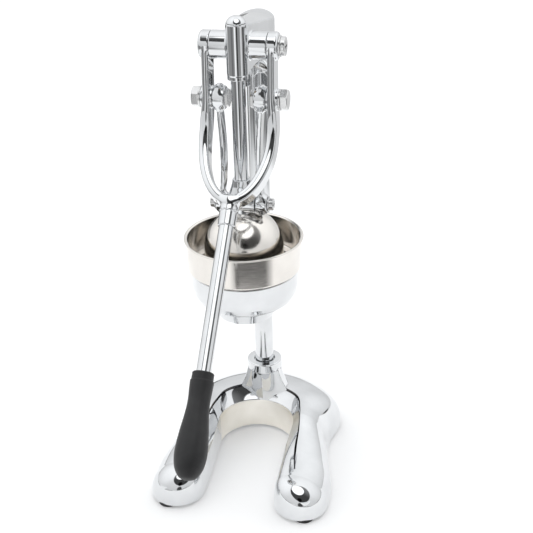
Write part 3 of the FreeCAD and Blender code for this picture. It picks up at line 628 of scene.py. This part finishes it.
def head_field(x, y, z):
    """Tapered web from the rod's sleeve to the post's socket, with the pivot's barrel."""
    r1, r2, reach = 10.0, 20.0, POST_Y
    lean = (r1 - r2) / reach
    slant = math.sqrt(1 - lean * lean)
    px = np.abs(x)
    along = -lean * px + slant * y
    plan = np.where(along < 0, np.hypot(px, y) - r1,
                    np.where(along > slant * reach, np.hypot(px, y - reach) - r2,
                             slant * px + lean * y - r1))
    rise = 9.0 * np.clip((POST_Y - y) / POST_Y, 0.0, 1.0)
    crown = np.hypot(x, z - (CROWN_TOP - CROWN_RADIUS + rise)) - CROWN_RADIUS
    t = np.clip((y - 4.0) / 64.0, 0.0, 1.0)
    arch = 470.0 + 14.6 * t - 30.6 * t ** 3.2
    web = both(both(plan, crown, 1.6), arch - z, 1.5)
    socket = both(both(np.hypot(x, y - POST_Y) - r2, crown, 1.6), 433.0 - z, 1.0)
    body = np.minimum(web, socket)
    barrel = bar(y - PIVOT_Y, z - PIVOT_Z, x, 14.0, -28.7, 28.7, 0.9)
    body = joined(body, barrel, 2.0)
    sleeve = bar(x, y, z, 10.3, 465.5, 520.3, 0.6)
    body = joined(body, sleeve, 1.6)
    for side in (-1, 1):
        u = x - side * 7.7
        pocket = joined(np.hypot(u, z - 447.0) - 6.0, np.maximum(np.abs(u) - 6.0, z - 447.0))
        body = without(body, np.maximum(pocket, np.abs(y - 64.0) - 14.0), 0.7)
    body = without(body, np.maximum(np.hypot(x, y - POST_Y) - POST_BORE, z - 497.0), 0.4)
    body = without(body, np.hypot(x, y) - ROD_BORE, 0.4)
    bore = np.maximum(np.hypot(y - PIVOT_Y, z - PIVOT_Z) - 6.5, 10.0 - np.abs(x))
    bush = np.maximum(np.hypot(y - PIVOT_Y, z - PIVOT_Z) - 8.0, 14.7 - np.abs(x))
    return without(without(body, bore), bush)


def head():
    add_cast("head_body", head_field, (-30, -12, 432), (30, 106, 522), 0.8, CHROME, "frame",
             ["head_casting"])


# ---- lever ------------------------------------------------------------------------------
def fork_field(x, y, z):
    """Two bent arms that run into a U and a socket, with a boss at the pivot and at the eye."""
    s, n = lever_coordinates(y, z)
    thick = 6.8 + 3.0 * smooth_step(s, 44.0, 84.0)
    middle = ARM_INNER + 0.4 + thick / 2
    turn = 92.0                                 # where the arms start to close in
    reach = 156.0 + 4.9 - turn
    q = np.maximum(s - turn, 0.0) / reach
    e = np.sqrt((x / middle) ** 2 + q ** 2)
    slope = np.sqrt((x / middle ** 2) ** 2 + (q / reach) ** 2) / e.clip(1e-6)
    lateral = np.abs((e - 1) / slope.clip(1e-6)) - thick / 2
    depth = np.interp(s, (0.0, 54.0, 88.0, 100.0, 160.0), (27.0, 27.0, 22.6, 21.6, 18.0))
    off = ((lateral + thick / 2) / (thick / 2)).clip(0, 1.2)
    body = both(lateral, np.maximum(np.abs(n) - depth / 2 + 1.7 * off ** 2, -s), 1.2)
    px = np.abs(x)
    boss = both(both(np.hypot(y - PIVOT_Y, z - PIVOT_Z) - 14.0, ARM_INNER - px, 0.5),
                px - ARM_OUTER, 3.2)
    eye = lever_point(CRANK)[0]
    bolt = both(np.hypot(y - eye.y, z - eye.z) - EYE_RADIUS,
                np.maximum(ARM_INNER - 1.9 - px, px - ARM_OUTER), 0.8)
    body = joined(joined(body, boss, 1.0), bolt, 1.2)
    socket = both(np.hypot(x, n) - np.interp(s, (161.0, 187.5), (9.6, 8.8)),
                  np.maximum(158.0 - s, s - 187.5), 0.8)
    body = joined(body, socket, 4.0)
    body = without(body, np.hypot(np.hypot(x, n) - 9.2, s - 172.0) - 0.7, 0.3)
    body = without(body, np.hypot(y - PIVOT_Y, z - PIVOT_Z) - PIN_BORE, 0.3)
    body = without(body, np.hypot(y - eye.y, z - eye.z) - PIN_BORE, 0.3)
    return without(body, np.maximum(np.hypot(x, n) - 7.3, TUBE_START - s), 0.3)


def link_field(x, y, z):
    """Strap that bows inward between its two eyes, on the right side."""
    top = lever_point(CRANK)[0]
    low = Vector((0, 0, LINK_LOW_Z))
    line = low - top
    share = ((y - top.y) * line.y + (z - top.z) * line.z) / line.length_squared
    t = np.clip(share, 0.0, 1.0)
    off = ((y - top.y) * line.z - (z - top.z) * line.y) / line.length
    middle = 21.6 - 3.4 * np.sin(math.pi * t ** 1.3)
    wide = 17.0 - 3.0 * t - 3.0 * np.sin(math.pi * t)
    side = np.maximum(np.abs(off) - wide / 2, np.abs(share - 0.5) - 0.5)
    strap = both(np.abs(x - middle) - 3.5, side, 2.4)
    ends = np.maximum(14.8 - x, x - 26.8)
    upper = both(np.hypot(y - top.y, z - top.z) - 11.8, ends, 1.4)
    lower = both(np.hypot(y, z - LINK_LOW_Z) - 9.5, ends, 1.4)
    body = joined(joined(strap, upper, 3.5), lower, 3.5)
    return without(body, np.hypot(y, z - LINK_LOW_Z) - 5.05, 0.3)


def hexagon(u, v, across_flats):
    """Distance from a hexagonal bar whose corners lie along v."""
    root = math.sqrt(3) / 2
    return np.maximum(np.abs(u), np.abs(u) * 0.5 + np.abs(v) * root) - across_flats / 2


def bolt_field(x, y, z):
    place = lever_point(CRANK)[0]
    seat = ARM_OUTER + EYE_WASHER
    dy, dz = y - place.y, z - place.z
    head = both(hexagon(dy, dz, 19.0), np.maximum(seat - x, x - seat - 7.5), 0.5)
    chamfer = np.hypot(dy, dz) - 11.6 + np.maximum(x - seat - 5.8, 0.0) * 1.5
    return both(head, chamfer * 0.6, 0.3)


def cross_head(x, u, v, seat, wide, thin, top, rise, slot, half):
    """Washer face, round head and crossed slot of a screw along x."""
    flange = bar(u, v, x, wide, seat, seat + rise, 0.4)
    head = bar(u, v, x, thin, seat, top, 0.9)
    body = joined(flange, head, 0.4)
    for a, b in ((u, v), (v, u)):
        slit = np.maximum(np.abs(a) - half, np.abs(b) - slot)
        body = without(body, np.maximum(slit, top - 1.6 - x), 0.2)
    return body


def lower_screw_field(x, y, z):
    return cross_head(x, y, z - LINK_LOW_Z, SCREW_SEAT, 8.0, 6.2, SCREW_SEAT + 6.2, 1.4, 3.7, 0.8)


def pivot_screw_field(x, y, z):
    seat = ARM_OUTER + PIVOT_WASHER
    return cross_head(x, y - PIVOT_Y, z - PIVOT_Z, seat, 9.5, 9.5, seat + 4.8, 1.0, 5.5, 1.1)


def flush_screw_field(x, y, z):
    dy, dz = y - PIVOT_Y, z - PIVOT_Z
    body = bar(dy, dz, x, 5.9, -ARM_OUTER, -ARM_OUTER + 12, 0.5)
    return without(body, np.maximum(hexagon(dy, dz, 6.0), x + ARM_OUTER - 5.0), 0.2)


def nut_field(x, y, z):
    place = lever_point(CRANK)[0]
    dy, dz = y - place.y, z - place.z
    body = both(hexagon(dy, dz, 17.0), np.maximum(11.0 - x, x - 14.9), 0.4)
    return both(body, (np.hypot(dy, dz) - 10.4 + np.maximum(12.0 - x, 0)) * 0.6, 0.3)


def mirror_field(field):
    """The same shape on the left side."""
    return lambda x, y, z: field(-x, y, z)


def around(place, x_low, x_high, radius):
    """Box round an axis along x."""
    return ((x_low, place.y - radius, place.z - radius),
            (x_high, place.y + radius, place.z + radius))


def mirrored_box(low, high):
    return (-high[0], low[1], low[2]), (-low[0], high[1], high[2])


def add_both_sides(name, field, low, high, step, material, body, nodes):
    """The piece on the right and its mirror image; body and nodes are (right, left)."""
    add_cast(name + "_r", field, low, high, step, material, body[0], nodes[0])
    low, high = mirrored_box(low, high)
    add_cast(name + "_l", mirror_field(field), low, high, step, material, body[1], nodes[1])


def washer(place, side, outer, thick):
    """Ring on an arm's outer face, on one side of the lever."""
    far = ARM_OUTER + thick
    profile = rounded([(WASHER_BORE, ARM_OUTER, 0.2), (outer, ARM_OUTER, 0.3), (outer, far, 0.3),
                       (WASHER_BORE, far, 0.2)], True)
    return lathe(profile, (0, place.y, place.z), (side, 0, 0), closed=True)


def lever_and_links():
    add_cast("fork_body", fork_field, (-41, -78, 330), (41, 28, 512), 0.9, CHROME, "lever",
             ["fork"])
    eye = lever_point(CRANK)[0]
    add_both_sides("link_body", link_field, (11, -14, 323), (28, 20, 457), 0.7, CHROME,
                   ("link_r", "link_l"), (["link_right"], ["link_left"]))
    low, high = around(eye, ARM_OUTER + 1.6, 49.5, 12)
    add_both_sides("bolt_head", bolt_field, low, high, 0.45, ZINC, ("lever", "lever"),
                   (["link_bolts"], []))
    low, high = around(eye, 10.8, 15.1, 11)
    add_both_sides("thin_nut", nut_field, low, high, 0.45, ZINC, ("link_r", "link_l"),
                   (["link_nut_right"], ["link_nut_left"]))
    low, high = around(Vector((0, 0, LINK_LOW_Z)), 26.9, 34, 8.6)
    add_both_sides("shoulder_screw", lower_screw_field, low, high, 0.4, ZINC,
                   ("plunger", "plunger"), (["lower_screws"], []))
    pivot = Vector((0, PIVOT_Y, PIVOT_Z))
    low, high = around(pivot, 41.0, 46.8, 10)
    add_cast("pivot_head", pivot_screw_field, low, high, 0.4, ZINC, "lever", ["pivot_screws"])
    low, high = around(pivot, -40.0, -27.0, 6.4)
    add_cast("pivot_plug", flush_screw_field, low, high, 0.4, ZINC, "lever", [])
    add_piece("pivot_ring", washer(pivot, 1, PIVOT_RING, PIVOT_WASHER), ZINC, "lever",
              ["pivot_washer"])
    rings = [washer(eye, side, EYE_RADIUS, EYE_WASHER) for side in (1, -1)]
    add_piece("bolt_rings", merge(*rings), ZINC, "lever", ["link_washers"])


def handle():
    """Tube in the fork's socket, and the grip on the tube."""
    start, way = lever_point(TUBE_START)
    length = (lever_point(TUBE_END)[0] - start).length
    profile = rounded([(TUBE_INNER, 0, 0.3), (TUBE_OUTER, 0, 0.3), (TUBE_OUTER, length, 0.3),
                       (TUBE_INNER, length, 0.3)], True)
    add_piece("lever_tube", lathe(profile, start, way, closed=True), CHROME_BAR, "lever",
              ["handle_tube"])
    start, way = lever_point(GRIP_START)
    swell = curve_through([(11.3, 8.6), (11.0, 16), (10.5, 28), (11.4, 40), (13.6, 56),
                           (15.0, 70), (15.0, 80), (12.8, 90), (8.4, 97), (4.0, 99.3), (0.0, 100)],
                          8)
    neck = rounded([(TUBE_OUTER, 0.0), (9.6, 0.0), (10.4, 0.8, 0.8), (10.4, 7.6, 0.5),
                    (11.1, 7.9, 0.3), (11.3, 8.6)])
    add_piece("grip_body", lathe(neck[:-1] + swell, start, way, steps=128), GRIP_BLACK, "lever",
              ["grip"], sharp=50)


# ---- plunger, cup and holder ------------------------------------------------------------
def arc(radius, centre, first, last, steps):
    """(radius, height) points of an arc about a height on the axis, angles from the horizontal."""
    line = []
    for k in range(steps + 1):
        angle = math.radians(first + (last - first) * k / steps)
        line.append((max(radius * math.cos(angle), 0.0), centre + radius * math.sin(angle)))
    return line


def plunger():
    """Rod with its cap, the crosshead for the links and the dome."""
    rod_shape = lathe(rounded([(0, ROD_LOW), (ROD_RADIUS, ROD_LOW, 0.4),
                               (ROD_RADIUS, ROD_TOP, 0.4), (0, ROD_TOP)]))
    add_piece("press_rod", rod_shape, CHROME_BAR, "plunger", ["plunger_rod"])
    rise = 7.2
    radius = (100 + rise ** 2) / (2 * rise)
    centre = ROD_TOP + rise - radius
    low = math.degrees(math.asin((ROD_TOP + 0.6 - centre) / radius))
    cap = [(0, ROD_TOP), (9.3, ROD_TOP), (9.8, 520.7)] + arc(radius, centre, low, 90, 20)
    add_piece("rod_dome", lathe(cap), CHROME, "plunger", ["rod_cap"])
    collar = rounded([(7.3, 324.6), (10.0, 324.4), (10.0, 339.0, 1.0), (14.2, 340, 0.8),
                      (12.9, 347, 6), (10.6, 354, 8), (9.2, 361, 0.8), (7.3, 361, 0.2)], True)
    bar_end = rounded([(0, -14.5), (11, -14.5, 0.8), (11, 14.5, 0.8), (0, 14.5)])
    add_piece("crosshead", merge(lathe(collar, closed=True),
                                 lathe(bar_end, (0, 0, LINK_LOW_Z), (1, 0, 0))),
              CHROME, "plunger", ["press_hub"])
    outer = [(DOME_RADIUS, 271.4)] + arc(DOME_RADIUS, DOME_Z, 0, 80, 40)
    radius = DOME_RADIUS - DOME_WALL
    inner = arc(radius, DOME_Z, 79.6, 0, 40) + [(radius, 271.4)]
    rim = [(DOME_RADIUS - 1.2, 271.0), (DOME_RADIUS - 0.4, 271.0)]
    add_piece("dome_shell", lathe(outer + inner + rim, closed=True, steps=160), STAINLESS,
              "plunger", ["press_dome"])


def cup():
    """Cup with its rolled rim, and the bowl and clamp that hold it."""
    profile = rounded([(24, 227.4), (42, 227.4, 4), (48.5, 231.8, 6), (52.0, 238, 10),
                       (53.2, 245, 20), (53.6, 262.3, 0.6), (59.6, 262.3, 1.6),
                       (60.8, 264.2, 1.2), (60.8, 295.0, 0.3), (63.0, 295.3, 0.8),
                       (63.0, 296.8, 0.8), (61.4, 297.0, 0.6), (59.7, 296.0, 0.3),
                       (59.7, 265.0, 1.0), (59.0, 263.6, 1.0),
                       (52.4, 263.5, 0.8), (52.0, 245, 20), (50.8, 238.4, 10), (47.8, 232.8, 6),
                       (41.6, 228.6, 4), (24, 228.6)], True)
    add_piece("cup_shell", lathe(profile, closed=True, steps=160), STAINLESS, "frame",
              ["juice_cup"])
    bowl = rounded([(31, 206.3, 0.5), (36.5, 221, 3), (46, 223.2, 8), (52.5, 228, 8),
                    (56.0, 235.5, 8), (57.3, 244, 14), (57.8, 260.4, 0.8), (55.0, 260.4, 0.5),
                    (54.6, 244, 14), (53.4, 237, 8), (50, 230.6, 8), (44, 226.2, 6), (32, 224, 3),
                    (27, 206, 0.5)], True)
    add_piece("holder_bowl", lathe(bowl, closed=True, steps=160), CHROME, "frame",
              ["bowl_holder"])
    add_cast("holder_clamp", clamp_field, (-20, 50, 222), (20, 104, 260), 0.9, CHROME, "frame", [])


def clamp_field(x, y, z):
    """Clamp round the post and the arm that reaches the bowl."""
    clamp = bar(x, y - POST_Y, z, 17.5, 224.0, 258.0, 1.5)
    arm = both(np.abs(x) - 13.0, np.maximum(np.maximum(231.0 - z, z - 255.0),
                                            np.maximum(54.2 - y, y - 86.0)), 2.5)
    inside = 54.6 - np.hypot(x, y)
    body = both(joined(clamp, arm, 3.0), inside, 0.2)
    return without(body, np.hypot(x, y - POST_Y) - POST_BORE, 0.4)


def cone():
    """Ribbed cone of the juicer."""
    rings = []
    heights = curve_through([(31.0, 245.6, 0.0), (31.0, 247.0, 0.6), (27.0, 255.0, 3.2),
                             (20.0, 272.0, 3.8), (12.0, 288.0, 3.6), (6.0, 296.0, 1.8),
                             (0.5, 299.6, 0.0)], 8)
    steps = 192
    for radius, height, rib in heights:
        ring = []
        for k in range(steps):
            angle = 2 * math.pi * k / steps
            ridge = abs(math.cos(4 * angle)) ** 6
            reach = radius + rib * ridge
            ring.append(Vector((reach * math.cos(angle), reach * math.sin(angle), height)))
        rings.append(ring)
    rings = [[Vector((0, 0, 245.4))]] + rings + [[Vector((0, 0, 299.8))]]
    add_piece("ribbed_cone", skin(rings), STAINLESS, "frame", ["reamer_cone"])


def column():
    low, high = 44.4, 496.8
    profile = rounded([(0, low), (POST_RADIUS, low, 0.6), (POST_RADIUS, high, 0.6), (0, high)])
    add_piece("post_bar", lathe(profile, (0, POST_Y, 0)), CHROME_BAR, "frame", ["post"])


def feet():
    shapes = []
    for x, y in FEET:
        profile = rounded([(4.3, 0.0, 0.2), (11.0, 0.0, 0.6), (12.0, 4.2, 0.2), (2.2, 4.2),
                           (2.2, 2.4), (4.3, 2.4)], True)
        shapes.append(lathe(profile, (x, y, 0), closed=True))
    add_piece("foot_pads", merge(*shapes), RUBBER, "frame", ["rubber_feet"])


# ---- studio; lengths in metres ------------------------------------------------------------
def towards(azimuth, elevation):
    """Unit vector; azimuth 0 is the front (-Y), 90 the right (+X)."""
    a = math.radians(azimuth)
    e = math.radians(elevation)
    return Vector((math.sin(a) * math.cos(e), -math.cos(a) * math.cos(e), math.sin(e)))


FLOOR_HALF, WALL_HEIGHT = 12.0, 16.0
CIRCLE_STEPS = 72
CARD_RINGS, CARD_HEIGHT = (0.001, 0.3, 1.2, 11.0), 0.0012
CARD_FADE = (0.70, 1.20, 0.96, 0.26)    # fades from this reach to this one, between two shades
SKY_LEVELS = (0.80, 1.06)               # at the horizon and near the top
DARK_PATCHES = [                        # direction, inner and outer angle, depth
    (towards(30, 54), 38, 40, 0.93),
    (towards(16, 24), 8, 10, 0.94),
    (towards(14, 2), 8, 12, 0.90),
]
LAMPS = [                               # direction, inner and outer angle, extra level
    (towards(24, 70), 22, 24, 1.5),
    (towards(-95, 40), 5, 55, 0.26),
    (towards(125, 45), 5, 55, 0.22),
]
STREAKS = [                             # azimuth, half width, shade, nearest and furthest reach
    (29, 36, 0.10, 0.50, 0.76),
    (16, 6, 0.02, 0.80, 20.0),
    (-6, 9, 0.95, 0.90, 20.0),
    (-40, 9, 0.16, 0.90, 20.0),
    (60, 9, 0.70, 0.90, 20.0),
    (88, 7, 0.04, 1.20, 20.0),
    (158, 26, 0.62, 0.90, 20.0),
    (128, 5, 0.05, 0.90, 20.0),
    (-150, 8, 0.04, 0.90, 20.0),
    (-104, 9, 0.75, 0.90, 20.0),
]


def math_node(tree, operation, first, second):
    node = tree.nodes.new("ShaderNodeMath")
    node.operation = operation
    for socket, value in zip(node.inputs, (first, second)):
        if isinstance(value, (int, float)):
            socket.default_value = value
        else:
            tree.links.new(value, socket)
    return node.outputs["Value"]


def vector_node(tree, operation, first, second=None):
    node = tree.nodes.new("ShaderNodeVectorMath")
    node.operation = operation
    tree.links.new(first, node.inputs[0])
    if second is not None:
        node.inputs[1].default_value = second
    return node.outputs["Vector" if operation == "NORMALIZE" else "Value"]


def smooth_spread(tree, value, low, high, to_low, to_high):
    """Like spread, but easing in and out."""
    result = spread(tree, value, low, high, to_low, to_high)
    result.node.interpolation_type = "SMOOTHSTEP"
    return result


def cos_degrees(degrees):
    return math.cos(math.radians(degrees))


def circle(radius, height):
    places = [towards(360.0 * k / CIRCLE_STEPS, 0) * radius for k in range(CIRCLE_STEPS)]
    return [(place.x, place.y, height) for place in places]


def bands(rings):
    """Quads between circles that follow each other in a list of points."""
    faces = []
    for ring in range(rings - 1):
        for k in range(CIRCLE_STEPS):
            a = ring * CIRCLE_STEPS + k
            b = ring * CIRCLE_STEPS + (k + 1) % CIRCLE_STEPS
            faces.append((a, b, b + CIRCLE_STEPS, a + CIRCLE_STEPS))
    return faces


def paper(name):
    """Matt white paper that glows a little, as over a light table."""
    material, tree, shader, place = node_material(name)
    tint = ramp(tree, noise(tree, place, 3.0), 0.3, 0.7, (0.955, 0.955, 0.955), (0.97, 0.97, 0.97))
    tree.links.new(tint, shader.inputs["Base Color"])
    shader.inputs["Emission Color"].default_value = (1.0, 1.0, 1.0, 1.0)
    shader.inputs["Emission Strength"].default_value = 0.15
    shader.inputs["Roughness"].default_value = 0.9
    shader.inputs["Specular IOR Level"].default_value = 0.1
    return material


def stage_piece(name, points, faces, material):
    """Piece of the studio, not of the press."""
    mesh = bpy.data.meshes.new(name)
    mesh.from_pydata(points, [], faces)
    mesh.materials.append(material)
    piece = bpy.data.objects.new(name, mesh)
    scene.collection.objects.link(piece)
    return piece


def floor():
    """Paper floor, and a round paper wall that only the camera sees."""
    half = FLOOR_HALF
    white = paper("floor_paper")
    stage_piece("floor", [(-half, -half, 0), (half, -half, 0), (half, half, 0), (-half, half, 0)],
                [(0, 1, 2, 3)], white)
    points = circle(half - 0.4, -0.01) + circle(half - 0.4, WALL_HEIGHT)
    wall = stage_piece("backdrop", points, bands(2), white)
    wall.data.shade_smooth()
    wall.visible_diffuse = False
    wall.visible_glossy = False
    wall.visible_transmission = False
    wall.visible_shadow = False


def studio_sky():
    """White tent with a dark opening in front and a bright lamp in it."""
    world = bpy.data.worlds.new("studio")
    world.use_nodes = True
    scene.world = world
    tree = world.node_tree
    background = tree.nodes["Background"]
    coordinates = tree.nodes.new("ShaderNodeTexCoord").outputs["Generated"]
    direction = vector_node(tree, "NORMALIZE", coordinates)
    parts = tree.nodes.new("ShaderNodeSeparateXYZ")
    tree.links.new(direction, parts.inputs[0])

    def blob(centre, inner, outer):
        """1 within the inner angle of a direction, falling to 0 at the outer angle."""
        dot = vector_node(tree, "DOT_PRODUCT", direction, centre)
        return smooth_spread(tree, dot, cos_degrees(outer), cos_degrees(inner), 0.0, 1.0)

    level = spread(tree, parts.outputs["Z"], 0.0, 0.9, *SKY_LEVELS)
    for centre, inner, outer, depth in DARK_PATCHES:
        share = math_node(tree, "MULTIPLY", blob(centre, inner, outer), depth)
        level = math_node(tree, "MULTIPLY", level, math_node(tree, "SUBTRACT", 1.0, share))
    for centre, inner, outer, extra in LAMPS:
        share = math_node(tree, "MULTIPLY", blob(centre, inner, outer), extra)
        level = math_node(tree, "ADD", level, share)
    tree.links.new(level, background.inputs["Strength"])
    background.inputs["Color"].default_value = (0.98, 0.99, 1.0, 1.0)


def reflector():
    """Card on the table that only shows in the chrome: grey further out, with streaks."""
    material, tree, shader, place = node_material("card_paper")
    points = [point for reach in CARD_RINGS for point in circle(reach, CARD_HEIGHT)]
    card = stage_piece("card", points, bands(len(CARD_RINGS)), material)
    card.visible_camera = False
    card.visible_diffuse = False
    card.visible_shadow = False
    reach = vector_node(tree, "LENGTH", place)
    direction = vector_node(tree, "NORMALIZE", place)
    shade = smooth_spread(tree, reach, *CARD_FADE)
    for azimuth, half, tone, start, end in STREAKS:
        begun = spread(tree, reach, start * 0.9, start * 1.05, 0.0, 1.0)
        going = spread(tree, reach, end * 0.97, end * 1.03, 1.0, 0.0)
        dot = vector_node(tree, "DOT_PRODUCT", direction, towards(azimuth, 0))
        mask = spread(tree, dot, cos_degrees(half * 1.25), cos_degrees(half * 0.75), 0.0, 1.0)
        weight = math_node(tree, "MULTIPLY", mask, math_node(tree, "MULTIPLY", begun, going))
        mix = tree.nodes.new("ShaderNodeMix")
        tree.links.new(weight, mix.inputs["Factor"])
        tree.links.new(shade, mix.inputs["A"])
        mix.inputs["B"].default_value = tone
        shade = mix.outputs["Result"]
    tree.links.new(shade, shader.inputs["Base Color"])
    tree.links.new(shade, shader.inputs["Emission Color"])
    shader.inputs["Emission Strength"].default_value = 0.22
    shader.inputs["Roughness"].default_value = 0.9
    shader.inputs["Specular IOR Level"].default_value = 0.0


def camera():
    """The press seen from the front, a little from its right and from above."""
    azimuth, aim, pitch, roll = (math.radians(v) for v in (13.75, 12.40, 26.84, -1.47))
    away, height = 983.39, 756.54
    focal_pixels, picture_pixels = 1030.65, 533.0
    eye = at(away * math.sin(azimuth), -away * math.cos(azimuth), height)
    forward = Vector((-math.cos(pitch) * math.sin(aim), math.cos(pitch) * math.cos(aim),
                      -math.sin(pitch)))
    level = Vector((math.cos(aim), math.sin(aim), 0))
    upright = level.cross(forward)
    right = math.cos(roll) * level + math.sin(roll) * upright
    up = math.cos(roll) * upright - math.sin(roll) * level
    data = bpy.data.cameras.new("camera")
    data.sensor_width = 36.0
    data.lens = data.sensor_width * focal_pixels / picture_pixels
    data.clip_start = 0.01
    seen = bpy.data.objects.new("camera", data)
    turn = Matrix((right, up, -forward)).transposed().to_4x4()
    seen.matrix_world = Matrix.Translation(eye) @ turn
    scene.collection.objects.link(seen)
    scene.camera = seen


dress_cad_nodes()
base()
column()
head()
lever_and_links()
handle()
plunger()
cup()
cone()
feet()
floor()
reflector()
studio_sky()
camera()
scene.view_settings.view_transform = "Standard"
